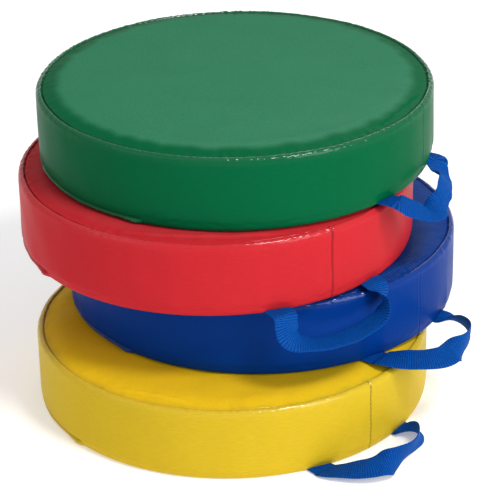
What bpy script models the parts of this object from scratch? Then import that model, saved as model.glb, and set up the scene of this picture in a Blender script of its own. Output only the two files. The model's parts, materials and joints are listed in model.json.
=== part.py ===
"""A stack of four round vinyl floor cushions, each with a webbing carrying handle and a hidden zip.

Metres, +Z up. The origin is the centre of the bottom cushion's underside. Each cushion is drawn
in its own frame, with its handle towards +X, and is then turned and placed in the stack.
"""
from math import asin, ceil, cos, pi, radians, sin, sqrt

import bmesh
import bpy
from mathutils import Vector

# ---- driving dimensions
CUSHION_DIAMETER = 0.381
CUSHION_THICKNESS = 0.0762
VINYL = 0.001              # coated cover cloth
CLEARANCE = 0.0003         # between pieces that touch
SEAM_INSET = 0.0055        # middle of a seam's groove, in from the rim
TOP_GROOVE = 0.0015        # width of the top seam's groove, which holds its thread
BOTTOM_GROOVE = 0.0022     # the bottom groove also holds the strap's ends and the zip tape
SEAM_ALLOWANCE = 0.007     # cover edge turned in behind a seam
THREAD = 0.0009
THREAD_DROP = 1.2 * THREAD  # the bottom thread hangs this far below the turned-in edge

ZIP_ARC = radians(178)     # opposite the handle
FLAP_RISE = 0.0143         # top of the flap that hides the zip, above the underside
FLAP_HEM = 0.0015          # the flap's lower edge, above the underside
ZIP_TAPE = 0.0006
ZIP_TAPE_TOP = 0.020
ZIP_ROW = 0.0016           # height of one row of teeth
ZIP_SLIT = 0.0012          # between the two rows
ZIP_TEETH_DEPTH = 0.002
ZIP_MIDDLE = 0.0102        # height of the slit's middle
SLIDER_LENGTH = 0.009
SLIDER_PLATE = 0.001
SLIDER_CLEARANCE = 0.001   # plate to teeth
SLIDER_WIDTH = 0.0055
SLIDER_POST = 0.0005
SLIDER_PARKING = radians(3)  # middle of the slider, back from the zip's closed end
FOAM_RELIEF = 0.010        # depth of the foam's groove behind the zip, in from the rim
RELIEF_RUN_ON = radians(1)  # the groove runs on past the zip at each end

STRAP_WIDTH = 0.025
STRAP_THICKNESS = 0.0016
STRAP_RISE = 0.0018        # middle of the strap's thickness where it leaves the seam
ROOT_HALF_SPACING = 0.052  # from the handle's middle to the middle of each strap end
HINGE_INSET = 0.003        # the strap bends on a line this far inside the rim
TAIL_CLEARANCE = 0.0011    # fixed strap end to free loop
LEG_TRIM = radians(0.2)
LEG_OVERLAP = 0.0002       # the leg is joined to its tail over this much
NOTCH_REACH = 0.028        # how far in from the seam a strap's notch is cut

CIRCLE_STEPS = 36
CREASE = radians(40)       # edges that turn more than this stay sharp
SHOULDER_STEPS = 2
LOOP_STEPS_PER_SPAN = 3

# name: (x and y in the stack, direction of the handle round +Z, cover colour)
CUSHIONS = {
    "yellow": (0.0, 0.0, radians(-49.1), (0.80, 0.56, 0.03)),
    "blue": (0.0304, 0.0600, radians(-41.0), (0.01, 0.07, 0.36)),
    "red": (-0.0124, 0.0331, radians(-57.0), (0.70, 0.03, 0.04)),
    "green": (0.0076, 0.0511, radians(-27.0), (0.0, 0.16, 0.06)),
}
WEBBING_COLOUR = (0.01, 0.09, 0.38)

# Where each loose loop lies, from its first end round to its second.
# Beyond the rim in metres, along the rim in half spacings, above the seam in half strap widths,
# then the direction across the strap, towards the loop's outer edge (out, along, up).
LOOP_ROUTES = {
    "yellow": [
        (-0.0030, -1.00, 0.00, (0.0, -1.0, 0.0)), (0.0045, -1.00, 0.12, (0.0, -1.0, -0.2)),
        (0.0225, -0.80, 0.56, (0.2, -0.9, -0.5)), (0.0365, -0.57, 0.92, (-0.2, -0.3, -0.9)),
        (0.0445, -0.21, 0.97, (-0.3, -0.1, -0.9)), (0.0405, 0.23, 0.97, (-0.3, 0.1, -0.9)),
        (0.0325, 0.63, 0.93, (-0.2, 0.3, -0.9)), (0.0225, 0.88, 0.76, (0.0, 0.7, -0.7)),
        (0.0095, 1.00, 0.40, (0.0, 0.9, -0.4)), (-0.0030, 1.00, 0.00, (0.0, 1.0, 0.0)),
    ],
    "blue": [
        (-0.0030, -1.00, 0.00, (0.0, -1.0, 0.0)), (0.0045, -1.00, 0.16, (0.0, -1.0, -0.1)),
        (0.0235, -0.82, 0.26, (0.0, -0.9, -0.4)), (0.0385, -0.58, 0.30, (-0.2, -0.3, -0.9)),
        (0.0475, -0.33, 0.30, (-0.3, 0.1, -0.9)), (0.0485, 0.00, 0.30, (-0.3, 0.1, -0.9)),
        (0.0460, 0.35, 0.30, (-0.2, 0.1, -0.9)), (0.0395, 0.62, 0.30, (0.1, 0.4, -0.9)),
        (0.0255, 0.88, 0.26, (0.2, 0.8, -0.5)), (0.0115, 1.00, 0.14, (0.0, 1.0, -0.3)),
        (-0.0030, 1.00, 0.00, (0.0, 1.0, 0.0)),
    ],
    "red": [
        (-0.0030, -1.00, 0.00, (0.0, -1.0, 0.0)), (0.0040, -1.00, -0.16, (0.0, -1.0, 0.0)),
        (0.0060, -1.00, -0.86, (0.0, -1.0, -0.1)), (0.0065, -0.88, -2.05, (0.0, -0.8, -0.6)),
        (0.0075, -0.45, -2.75, (-0.1, -0.3, -0.9)), (0.0080, 0.05, -3.15, (-0.1, 0.0, -1.0)),
        (0.0080, 0.55, -3.05, (-0.1, 0.3, -0.9)), (0.0075, 0.87, -2.20, (0.0, 0.8, -0.6)),
        (0.0070, 1.00, -0.86, (0.0, 1.0, -0.1)), (0.0045, 1.00, -0.12, (0.0, 1.0, 0.0)),
        (-0.0030, 1.00, 0.00, (0.0, 1.0, 0.0)),
    ],
    "green": [
        (-0.0030, -1.00, 0.00, (0.0, -1.0, 0.0)), (0.0045, -1.00, -0.10, (0.0, -1.0, 0.0)),
        (0.0155, -0.90, -0.60, (0.1, -1.0, -0.1)), (0.0245, -0.65, -1.00, (0.3, -0.7, -0.6)),
        (0.0305, -0.33, -1.15, (0.2, 0.0, -1.0)), (0.0285, 0.08, -1.10, (0.2, 0.4, -0.9)),
        (0.0240, 0.44, -0.82, (0.2, 0.7, -0.6)), (0.0160, 0.80, -0.50, (0.0, 0.9, -0.4)),
        (0.0050, 1.00, -0.12, (0.0, 1.0, 0.0)), (-0.0030, 1.00, 0.00, (0.0, 1.0, 0.0)),
    ],
}

# ---- sizes that follow from the driving ones
RIM = CUSHION_DIAMETER / 2
TOP = CUSHION_THICKNESS
SEAM = RIM - SEAM_INSET
TOP_PANEL_EDGE = SEAM - TOP_GROOVE / 2
BOTTOM_PANEL_EDGE = SEAM - BOTTOM_GROOVE / 2
BAND_TOP_EDGE = SEAM + TOP_GROOVE / 2
BAND_BOTTOM_EDGE = SEAM + BOTTOM_GROOVE / 2
STACK_PITCH = CUSHION_THICKNESS + CLEARANCE
TAPE_INNER = BOTTOM_PANEL_EDGE + CLEARANCE
TAPE_OUTER = TAPE_INNER + ZIP_TAPE
TEETH_MIDDLE = (TAPE_INNER + TAPE_OUTER) / 2
TEETH_INNER = TEETH_MIDDLE - ZIP_TEETH_DEPTH / 2
TEETH_OUTER = TEETH_MIDDLE + ZIP_TEETH_DEPTH / 2
LOWER_ROW = ZIP_MIDDLE - ZIP_SLIT / 2 - ZIP_ROW
UPPER_ROW = ZIP_MIDDLE + ZIP_SLIT / 2
ZIP_START = pi - ZIP_ARC / 2
ZIP_END = pi + ZIP_ARC / 2
HINGE_OUT = RIM - HINGE_INSET
NOTCH_TOP = STRAP_RISE + STRAP_THICKNESS / 2 + CLEARANCE


# ---- modelling helpers
def clear_scene():
    for obj in list(bpy.data.objects):
        bpy.data.objects.remove(obj)


def new_collection(name):
    collection = bpy.data.collections.new(name)
    bpy.context.scene.collection.children.link(collection)
    return collection


def make_material(name, colour, roughness, metallic=0.0):
    material = bpy.data.materials.new(name)
    material.use_nodes = True
    shader = material.node_tree.nodes["Principled BSDF"]
    shader.inputs["Base Color"].default_value = (*colour, 1.0)
    shader.inputs["Roughness"].default_value = roughness
    shader.inputs["Metallic"].default_value = metallic
    return material


def add_object(name, mesh, parent, collection, material=None):
    obj = bpy.data.objects.new(name, mesh)
    obj.parent = parent
    collection.objects.link(obj)
    if material:
        mesh.materials.append(material)
    return obj


def mesh_from(bm, name):
    mesh = bpy.data.meshes.new(name)
    bm.to_mesh(mesh)
    bm.free()
    mesh.shade_smooth()
    mesh.set_sharp_from_angle(angle=CREASE)
    return mesh


def profile_mesh(name, outline, closed):
    """The edges of a profile in the XZ plane, ready for a Screw modifier."""
    bm = bmesh.new()
    points = [bm.verts.new((radius, 0.0, height)) for radius, height in outline]
    for first, second in zip(points, points[1:]):
        bm.edges.new((first, second))
    if closed:
        bm.edges.new((points[-1], points[0]))
    return mesh_from(bm, name)


def turned(name, outline, parent, collection, material, closed):
    """A whole turn of a profile about the cushion's axis. It runs down its outer side."""
    obj = add_object(name, profile_mesh(name, outline, closed), parent, collection, material)
    screw = obj.modifiers.new("turn", "SCREW")
    screw.steps = screw.render_steps = CIRCLE_STEPS
    screw.use_merge_vertices = True
    screw.merge_threshold = 0.00001
    return obj


def arc_mesh(name, outline, start, end):
    """Part of a turn of a filled profile, closed at both ends, with a whole turn's flat sides."""
    step = 2 * pi / CIRCLE_STEPS
    inside = range(ceil(start / step + 0.01), ceil(end / step - 0.01))
    bm = bmesh.new()
    rings = []
    for angle in (start, *(index * step for index in inside), end):
        chord = cos(step / 2) / cos(angle % step - step / 2)
        rings.append([
            bm.verts.new((r * chord * cos(angle), r * chord * sin(angle), z)) for r, z in outline])
    for ring, following in zip(rings, rings[1:]):
        for index in range(len(outline)):
            before = index - 1
            bm.faces.new((ring[before], ring[index], following[index], following[before]))
    bm.faces.new(rings[0])
    bm.faces.new(rings[-1])
    bmesh.ops.recalc_face_normals(bm, faces=bm.faces)
    return mesh_from(bm, name)


def rectangle(inner, outer, low, high):
    return [(outer, high), (outer, low), (inner, low), (inner, high)]


def box_mesh(name, low, high):
    bm = bmesh.new()
    bmesh.ops.create_cube(bm, size=1.0)
    size = Vector(high) - Vector(low)
    middle = (Vector(high) + Vector(low)) / 2
    bmesh.ops.scale(bm, vec=size, verts=bm.verts)
    bmesh.ops.translate(bm, vec=middle, verts=bm.verts)
    return mesh_from(bm, name)


def boolean(obj, other, operation):
    """Cuts or joins a helper, which is left out of the model itself."""
    other.hide_render = True
    other.display_type = "WIRE"
    modifier = obj.modifiers.new(other.name, "BOOLEAN")
    modifier.operation = operation
    modifier.object = other


def shoulder(edge, base, direction, steps):
    """A quarter round from a seam's edge, level, out to the rim, upright."""
    radius = RIM - edge
    turns = [pi / 2 * step / steps for step in range(steps + 1)]
    return [(edge + radius * sin(a), base + direction * radius * (cos(a) - 1)) for a in turns]


# ---- the pieces of one cushion
def foam_core(name, parent, collection, cutters, material):
    """A disc of foam, stepped in behind the turned-in seams and relieved behind the zip."""
    low = VINYL + CLEARANCE
    high = TOP - low
    wall = RIM - VINYL - CLEARANCE
    step_low = SEAM_ALLOWANCE + CLEARANCE
    step_high = TOP - step_low
    top_step = TOP_PANEL_EDGE - VINYL - CLEARANCE
    bottom_step = BOTTOM_PANEL_EDGE - VINYL - CLEARANCE
    outline = [
        (0.0, high), (top_step, high), (top_step, step_high), (wall, step_high),
        (wall, step_low), (bottom_step, step_low), (bottom_step, low), (0.0, low),
    ]
    core = turned(f"{name}_foam_core", outline, parent, collection, material, closed=False)
    groove = rectangle(RIM - FOAM_RELIEF, RIM + FOAM_RELIEF, -FOAM_RELIEF, ZIP_TAPE_TOP + VINYL)
    relief = arc_mesh("zip_relief", groove, ZIP_START - RELIEF_RUN_ON, ZIP_END + RELIEF_RUN_ON)
    boolean(core, add_object(f"{name}_zip_relief", relief, parent, cutters), "DIFFERENCE")


def panels(name, parent, collection, material):
    """The round top and bottom of the cover, each with its edge turned in."""
    edge = TOP_PANEL_EDGE
    top = [
        (0.0, TOP), (edge, TOP), (edge, TOP - SEAM_ALLOWANCE),
        (edge - VINYL, TOP - SEAM_ALLOWANCE), (edge - VINYL, TOP - VINYL), (0.0, TOP - VINYL),
    ]
    turned(f"{name}_top_panel", top, parent, collection, material, closed=False)
    edge = BOTTOM_PANEL_EDGE
    bottom = [
        (0.0, VINYL), (edge - VINYL, VINYL), (edge - VINYL, SEAM_ALLOWANCE),
        (edge, SEAM_ALLOWANCE), (edge, 0.0), (0.0, 0.0),
    ]
    turned(f"{name}_bottom_panel", bottom, parent, collection, material, closed=False)


def side_band(name, parent, collection, cutters, material):
    """The upright wall of the cover, cut away over the zip and notched for the strap's ends."""
    outer = shoulder(BAND_TOP_EDGE, TOP, 1, SHOULDER_STEPS)
    outer += reversed(shoulder(BAND_BOTTOM_EDGE, 0.0, -1, SHOULDER_STEPS))
    lip_low = BAND_BOTTOM_EDGE + VINYL
    lip_roll = 1.5 * VINYL
    lip_high = BAND_TOP_EDGE + VINYL
    inner_round = RIM - VINYL
    fold_low = inner_round - lip_low + VINYL
    fold_high = TOP - (inner_round - lip_high + VINYL)
    inner = [
        (BAND_BOTTOM_EDGE, SEAM_ALLOWANCE), (lip_low, SEAM_ALLOWANCE), (lip_low, lip_roll),
        (inner_round, fold_low), (inner_round, fold_high), (lip_high, TOP - lip_roll),
        (lip_high, TOP - SEAM_ALLOWANCE), (BAND_TOP_EDGE, TOP - SEAM_ALLOWANCE),
    ]
    band = turned(f"{name}_side_band", outer + inner, parent, collection, material, closed=True)
    behind_seam = SEAM - 3 * VINYL
    opening = rectangle(behind_seam, RIM + SEAM_INSET, -SEAM_INSET, FLAP_RISE + CLEARANCE)
    cut = arc_mesh("zip_cut", opening, ZIP_START, ZIP_END)
    boolean(band, add_object(f"{name}_zip_cut", cut, parent, cutters), "DIFFERENCE")
    for side, word in ((-1, "left"), (1, "right")):
        reach = STRAP_WIDTH / 2 + CLEARANCE
        middle = side * ROOT_HALF_SPACING
        low = (SEAM - NOTCH_REACH, middle - reach, -SEAM_INSET)
        high = (RIM + SEAM_INSET, middle + reach, NOTCH_TOP)
        notch = box_mesh("strap_notch", low, high)
        boolean(band, add_object(f"{name}_notch_{word}", notch, parent, cutters), "DIFFERENCE")


def seam_threads(name, parent, collection, material):
    """The lines of stitching that close the top and bottom seams, above the strap's ends."""
    half = THREAD / 2
    high = TOP - SEAM_ALLOWANCE + half
    ring = rectangle(SEAM - half, SEAM + half, high - half, high + half)
    turned(f"{name}_top_seam_thread", ring, parent, collection, material, closed=True)
    low = SEAM_ALLOWANCE - THREAD_DROP
    ring = rectangle(SEAM - half, SEAM + half, low, low + THREAD)
    bottom = arc_mesh("bottom_seam_thread", ring, ZIP_END - 2 * pi, ZIP_START)
    add_object(f"{name}_bottom_seam_thread", bottom, parent, collection, material)


def zip_pieces(name, parent, collection, vinyl, tape, metal):
    """The hidden zip: two tapes, two rows of teeth, its slider, and the flap over them."""
    web = FLAP_RISE - VINYL
    flap = [
        (RIM, FLAP_RISE), (RIM, FLAP_HEM), (RIM - VINYL, FLAP_HEM), (RIM - VINYL, web),
        (TAPE_OUTER + CLEARANCE, web), (TAPE_OUTER + CLEARANCE, FLAP_RISE),
    ]
    trim = CLEARANCE / RIM
    pieces = {
        "zip_flap": (flap, vinyl),
        "zip_tape_lower": (
            rectangle(TAPE_INNER, TAPE_OUTER, 2 * CLEARANCE, LOWER_ROW - CLEARANCE), tape),
        "zip_tape_upper": (
            rectangle(TAPE_INNER, TAPE_OUTER, UPPER_ROW + ZIP_ROW + CLEARANCE, ZIP_TAPE_TOP), tape),
        "zip_teeth_lower": (
            rectangle(TEETH_INNER, TEETH_OUTER, LOWER_ROW, LOWER_ROW + ZIP_ROW), metal),
        "zip_teeth_upper": (
            rectangle(TEETH_INNER, TEETH_OUTER, UPPER_ROW, UPPER_ROW + ZIP_ROW), metal),
    }
    for word, (outline, material) in pieces.items():
        mesh = arc_mesh(word, outline, ZIP_START + trim, ZIP_END - trim)
        add_object(f"{name}_{word}", mesh, parent, collection, material)

    inner = TEETH_INNER - SLIDER_CLEARANCE
    outer = TEETH_OUTER + SLIDER_CLEARANCE
    low, high = ZIP_MIDDLE - SLIDER_WIDTH / 2, ZIP_MIDDLE + SLIDER_WIDTH / 2
    post_low, post_high = ZIP_MIDDLE - SLIDER_POST / 2, ZIP_MIDDLE + SLIDER_POST / 2
    plates = [
        (outer + SLIDER_PLATE, high), (outer + SLIDER_PLATE, low), (outer, low),
        (outer, post_low), (inner, post_low), (inner, low), (inner - SLIDER_PLATE, low),
        (inner - SLIDER_PLATE, high), (inner, high), (inner, post_high), (outer, post_high),
        (outer, high),
    ]
    half = SLIDER_LENGTH / 2 / TEETH_MIDDLE
    middle = ZIP_END - SLIDER_PARKING
    slider = arc_mesh("zip_slider", plates, middle - half, middle + half)
    add_object(f"{name}_zip_slider", slider, parent, collection, metal)


def strap_tail(name, word, side, parent, collection, cutters, material):
    """The end of the strap that is sewn into the seam: flat under the rim, turned up in the groove."""
    reach = STRAP_WIDTH / 2
    along = [side * ROOT_HALF_SPACING + reach * (step / 2 - 1) for step in range(5)]
    inner = TAPE_INNER
    edge = [(sqrt(inner**2 - y**2), y) for y in along]
    outline = [*edge, (HINGE_OUT - TAIL_CLEARANCE, along[-1]), (HINGE_OUT - TAIL_CLEARANCE, along[0])]
    bm = bmesh.new()
    low = STRAP_RISE - STRAP_THICKNESS / 2
    face = bm.faces.new([bm.verts.new((x, y, low)) for x, y in outline])
    lifted = bmesh.ops.extrude_face_region(bm, geom=[face])["geom"]
    moved = [v for v in lifted if isinstance(v, bmesh.types.BMVert)]
    bmesh.ops.translate(bm, vec=(0, 0, STRAP_THICKNESS), verts=moved)
    bmesh.ops.recalc_face_normals(bm, faces=bm.faces)
    mesh = mesh_from(bm, "strap_tail")
    tail = add_object(f"{name}_strap_end_{word}", mesh, parent, collection, material)
    leg_top = SEAM_ALLOWANCE - THREAD_DROP - CLEARANCE
    legs = rectangle(inner + LEG_OVERLAP, SEAM + LEG_OVERLAP, STRAP_RISE, leg_top)
    start, end = (asin(y / inner) for y in (along[0], along[-1]))
    leg = arc_mesh("strap_leg", legs, start + LEG_TRIM, end - LEG_TRIM)
    boolean(tail, add_object(f"{name}_strap_leg_{word}", leg, parent, cutters), "UNION")


def smooth_route(points):
    """A smooth curve through the route's points, as lists of (out, along, up) and of directions."""
    ends = [2 * points[0] - points[1], *points, 2 * points[-1] - points[-2]]
    route = []
    for a, b, c, d in zip(ends, ends[1:], ends[2:], ends[3:]):
        for step in range(LOOP_STEPS_PER_SPAN):
            t = step / LOOP_STEPS_PER_SPAN
            route.append(0.5 * (
                2 * b + (c - a) * t + (2 * a - 5 * b + 4 * c - d) * t**2
                + (3 * b - a - 3 * c + d) * t**3))
    return [*route, points[-1]]


def strap_loop(name, parent, collection, material):
    """The free loop of webbing. Its object's origin is on the line that it swings about."""
    half = STRAP_WIDTH / 2
    rows = LOOP_ROUTES[name]
    places = smooth_route([
        Vector((RIM + out - HINGE_OUT, along * ROOT_HALF_SPACING, rise * half))
        for out, along, rise, _ in rows])
    across = smooth_route([Vector(direction) for *_, direction in rows])
    count = len(places) - 1
    bm = bmesh.new()
    bmesh.ops.create_grid(bm, x_segments=count, y_segments=1, size=1.0)
    for vert in bm.verts:
        index = round((vert.co.x + 1) / 2 * count)
        if index in (0, count):
            run = Vector((1.0, 0.0, 0.0))
        else:
            run = (places[index + 1] - places[index - 1]).normalized()
        level = across[index] - across[index].dot(run) * run
        side = 1 if vert.co.y > 0 else -1
        vert.co = places[index] + level.normalized() * half * side
    mesh = mesh_from(bm, "strap_loop")
    loop = add_object(f"{name}_handle_loop", mesh, parent, collection, material)
    loop.location = (HINGE_OUT, 0.0, STRAP_RISE)
    thick = loop.modifiers.new("webbing", "SOLIDIFY")
    thick.thickness = STRAP_THICKNESS
    thick.offset = 0.0


def cushion(name, level, collection, cutters, shared):
    """All the pieces of one cushion, parented to an empty at the middle of its underside."""
    x, y, turn, colour = CUSHIONS[name]
    place = bpy.data.objects.new(f"{name}_cushion", None)
    place.location = (x, y, level * STACK_PITCH)
    place.rotation_euler = (0.0, 0.0, turn)
    collection.objects.link(place)
    vinyl = make_material(f"{name}_vinyl", colour, 0.35)
    foam_core(name, place, collection, cutters, shared["foam"])
    panels(name, place, collection, vinyl)
    side_band(name, place, collection, cutters, vinyl)
    seam_threads(name, place, collection, shared["thread"])
    zip_pieces(name, place, collection, vinyl, shared["tape"], shared["metal"])
    strap_tail(name, "left", -1, place, collection, cutters, shared["webbing"])
    strap_tail(name, "right", 1, place, collection, cutters, shared["webbing"])
    strap_loop(name, place, collection, shared["webbing"])


def build():
    clear_scene()
    collection = new_collection("floor_cushion_stack")
    cutters = new_collection("cutters")
    shared = {
        "foam": make_material("foam", (0.85, 0.80, 0.62), 0.95),
        "thread": make_material("thread", (0.12, 0.12, 0.14), 0.7),
        "tape": make_material("zip_tape", (0.03, 0.03, 0.04), 0.8),
        "metal": make_material("zip_metal", (0.45, 0.44, 0.42), 0.35, 1.0),
        "webbing": make_material("webbing", WEBBING_COLOUR, 0.6),
    }
    for level, name in enumerate(CUSHIONS):
        cushion(name, level, collection, cutters, shared)


build()
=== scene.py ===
import json
from math import atan2, cos, hypot, pi, radians, sin, tau

import bpy
import numpy as np
from mathutils import Matrix, Vector


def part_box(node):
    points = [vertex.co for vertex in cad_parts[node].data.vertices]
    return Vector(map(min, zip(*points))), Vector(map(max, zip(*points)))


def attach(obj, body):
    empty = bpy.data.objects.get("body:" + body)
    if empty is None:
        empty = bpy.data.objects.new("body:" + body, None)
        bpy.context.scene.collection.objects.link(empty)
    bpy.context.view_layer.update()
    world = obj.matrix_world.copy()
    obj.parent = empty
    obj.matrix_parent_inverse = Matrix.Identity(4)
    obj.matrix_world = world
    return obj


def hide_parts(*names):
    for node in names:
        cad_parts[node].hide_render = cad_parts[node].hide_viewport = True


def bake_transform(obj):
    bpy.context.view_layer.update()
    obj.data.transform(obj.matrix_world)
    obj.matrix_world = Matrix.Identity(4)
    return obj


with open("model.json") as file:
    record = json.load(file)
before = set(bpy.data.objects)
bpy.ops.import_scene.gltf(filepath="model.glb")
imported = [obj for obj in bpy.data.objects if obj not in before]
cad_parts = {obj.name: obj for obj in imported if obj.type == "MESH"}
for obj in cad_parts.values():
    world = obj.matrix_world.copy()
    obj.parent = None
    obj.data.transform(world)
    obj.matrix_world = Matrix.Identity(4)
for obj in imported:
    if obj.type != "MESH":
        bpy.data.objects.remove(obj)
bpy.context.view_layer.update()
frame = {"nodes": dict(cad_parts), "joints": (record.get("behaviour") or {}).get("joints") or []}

joints = {joint["name"]: joint for joint in frame["joints"]}
scene = bpy.context.scene
mm = 0.001
print("Frame loaded:", len(frame["nodes"]), "solids")


view = {
    "lens": 178.54,
    "film": 36,         # width, as the lens in millimetres
    "farthest": 60,
    "place": (0.0133, -2.1103, 1.1726),
    "tip": 64.17,       # degrees from straight down
    "roll": -0.0207,    # radians
}


def setCamera():
    camera = bpy.data.cameras.new("camera")
    camera.lens = view["lens"]
    camera.sensor_width = view["film"]
    camera.clip_end = view["farthest"]
    obj = bpy.data.objects.new("camera", camera)
    turn = Matrix.Rotation(radians(view["tip"]), 4, "X") @ Matrix.Rotation(view["roll"], 4, "Z")
    obj.matrix_world = Matrix.Translation(view["place"]) @ turn
    scene.collection.objects.link(obj)
    scene.camera = obj


setCamera()
print("Camera set")


class Wire:
    # one output of a node, so that shader sums read as Python
    def __init__(self, finish, socket):
        self.finish = finish
        self.socket = socket

    def math(self, operation, *values):
        return self.finish.node("ShaderNodeMath", {"operation": operation}, dict(enumerate(values)))

    def __add__(self, other):
        return self.math("ADD", self, other)

    def __radd__(self, other):
        return self.math("ADD", other, self)

    def __sub__(self, other):
        return self.math("SUBTRACT", self, other)

    def __rsub__(self, other):
        return self.math("SUBTRACT", other, self)

    def __mul__(self, other):
        return self.math("MULTIPLY", self, other)

    def __rmul__(self, other):
        return self.math("MULTIPLY", other, self)

    def __pow__(self, other):
        return self.math("POWER", self, other)

    def wave(self, pitch):
        return self.math("SINE", self * (tau / pitch)) * 0.5 + 0.5

    def step(self, low, high, bottom=0.0, top=1.0):
        ranges = {"From Min": low, "From Max": high, "To Min": bottom, "To Max": top}
        settings = {"interpolation_type": "SMOOTHSTEP"}
        return self.finish.node("ShaderNodeMapRange", settings, {"Value": self, **ranges})


class Finish:
    # a material and its nodes
    def __init__(self, name):
        self.material = bpy.data.materials.new(name)
        self.material.use_nodes = True
        self.tree = self.material.node_tree
        self.shader = self.tree.nodes["Principled BSDF"]

    def node(self, kind, settings, sockets, out=0):
        made = self.tree.nodes.new(kind)
        for key, value in settings.items():
            setattr(made, key, value)
        for key, value in sockets.items():
            if isinstance(value, Wire):
                self.tree.links.new(value.socket, made.inputs[key])
            else:
                made.inputs[key].default_value = value
        return Wire(self, made.outputs[out])

    def place(self):
        return self.node("ShaderNodeTexCoord", {}, {}, "Object")

    def flat(self, name):
        uv = self.node("ShaderNodeUVMap", {"uv_map": name}, {})
        return [self.node("ShaderNodeSeparateXYZ", {}, {0: uv}, out) for out in (0, 1)]

    def painted(self, name):
        return self.node("ShaderNodeAttribute", {"attribute_name": name}, {}, "Fac")

    def noise(self, where, scale, detail=3.0, rough=0.55):
        sockets = {"Vector": where, "Scale": scale, "Detail": detail, "Roughness": rough}
        return self.node("ShaderNodeTexNoise", {}, sockets, 0)

    def colours(self, share, first, second):
        return self.node("ShaderNodeMix", {"data_type": "RGBA"}, {0: share, 6: first, 7: second}, 2)

    def bump(self, height, strength=1.0):
        sockets = {"Height": height, "Strength": strength, "Distance": mm}
        return self.node("ShaderNodeBump", {}, sockets)

    def set(self, **sockets):
        for key, value in sockets.items():
            socket = self.shader.inputs[key.replace("_", " ")]
            if isinstance(value, Wire):
                self.tree.links.new(value.socket, socket)
            else:
                socket.default_value = value
        return self.material


def tinted(colour, factor):
    return (*(min(1.0, part * factor) for part in colour[:3]), 1.0)


# each cover: its seams, its colour, the painted reflection on its top and the painted shade along
# its seams, and the faults of its cloth; a fold is given by the directions it runs between, in
# degrees, its distance from the seam and its depth
cushions = {
    "yellow": {
        "seed": 11, "threadLift": 0.05 * mm, "threadShade": 0.4,
        "reflectedHazeEdge": (-7 * mm, 1 * mm), "grooveDepth": 0.7 * mm, "grooveShade": 0.12,
        "colour": (0.62, 0.43, 0.019), "reflectionTint": (0.97, 0.60, 0.006), "reflectionShare": 0.5,
        "uprightSeam": 1.5, "uprightShade": 0.9, "uprightDepth": 0.8 * mm,
        "pucker": 0.8, "dents": 2.0 * mm, "ribs": 2.4 * mm, "ribHeight": 0.03,
        "folds": [(-128, -100, 9 * mm, 0.8 * mm)],
    },
    "blue": {
        "seed": 23, "threadLift": 0.4 * mm, "threadShade": 0.9,
        "reflectedHazeEdge": (-6 * mm, -2 * mm), "grooveDepth": 1.7 * mm, "grooveShade": 0.25,
        "colour": (0.0008, 0.034, 0.225), "reflectionTint": (0.06, 0.15, 0.42), "reflectionShare": 0.16,
        "uprightSeam": 2.2, "uprightShade": 0.06, "uprightDepth": 0.4 * mm,
        "pucker": 1.1, "dents": 0.6 * mm, "ribs": 3.6 * mm, "ribHeight": 0.28,
        "folds": [(-62, -30, 8 * mm, 0.9 * mm)],
    },
    "red": {
        "seed": 37, "threadLift": 0.4 * mm, "threadShade": 0.35,
        "reflectedHazeEdge": (-14 * mm, -5 * mm), "grooveDepth": 1.7 * mm, "grooveShade": 0.45,
        "colour": (0.52, 0.020, 0.027), "reflectionTint": (0.54, 0.10, 0.11), "reflectionShare": 0.12,
        "uprightSeam": 0.8, "uprightShade": 1.0, "uprightDepth": 1.0 * mm,
        "pucker": 0.9, "dents": 0.6 * mm, "ribs": 2.4 * mm, "ribHeight": 0.03,
        "folds": [(-122, -66, 9 * mm, 1.2 * mm)],
    },
    "green": {
        "seed": 53, "threadLift": 0.4 * mm, "threadShade": 0.9,
        "reflectedHazeEdge": (-22 * mm, -10 * mm), "grooveDepth": 1.8 * mm, "grooveShade": 0.6,
        "colour": (0.0003, 0.105, 0.036), "reflectionTint": (0.077, 0.36, 0.21), "reflectionShare": 0.30,
        "uprightSeam": 4.5, "uprightShade": 0.04, "uprightDepth": 0.4 * mm,
        "pucker": 1.25, "dents": 0.45 * mm, "ribs": 2.4 * mm, "ribHeight": 0.02,
        "folds": [(-44, -14, 8 * mm, 0.9 * mm)],
    },
}

coverCut = {
    "columns": 900,            # round the rim
    "seamInset": 5.5 * mm,
    "hingeInset": 3.0 * mm,    # the handle's hinge line, in from the rim
    "rollWidth": 13 * mm,      # the top panel runs down to its seam over this
    "rollDrop": 2.9 * mm,
    "grooveWidth": 0.65 * mm,
    "shoulderDrop": 6.0 * mm,
    "topSink": 2.2 * mm,       # top of the shoulder, below the top of the panel
    "flapHeight": 5.6 * mm,    # the roll of cloth over the zip
    "flapSwell": 1.15 * mm,
    "zipEnds": (91.0, 269.0),  # degrees from the handle
    "tuckLength": 7.0,         # degrees
    "tuckSwell": 1.5 * mm,
    "rootAngle": 16.3,         # degrees from the handle to each strap end
    "lowest": 0.15 * mm,       # the cover stays above this
}

puckers = {
    "cross": (60, 150),        # fewest and most round the rim, on the panel
    "shoulder": (70, 170),
    "fine": (140, 260),
    "reach": 5.5 * mm,         # across the seam
    "leastReach": 2.5 * mm,
    "panelHeight": 0.42 * mm,
    "shoulderHeight": 0.30 * mm,
    "shoulderSwell": 0.34 * mm,
    "crinklePitch": 4.5 * mm,
    "crinkleReach": 8 * mm,
    "crinkleOnShoulder": 0.22 * mm,
    "crinkleOnPanel": 0.08 * mm,
    "seamWander": 0.35 * mm,
    "wanderReach": 9 * mm,
}

wall = {
    "waves": 0.62 * mm,
    "rootPull": 0.9 * mm,      # the cloth is drawn in above each strap end
    "rootRidge": 0.5 * mm,
    "seamStitch": 4.0 * mm,
    "seamWidth": 0.8 * mm,
    "flapLine": 0.7 * mm,      # the crease above the roll
    "flapPower": 0.8,
    "tuckHeight": 1.8 * mm,
    "tuckSpread": 3.0 * mm,
    "tuckDrop": 0.6 * mm,
}

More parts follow.
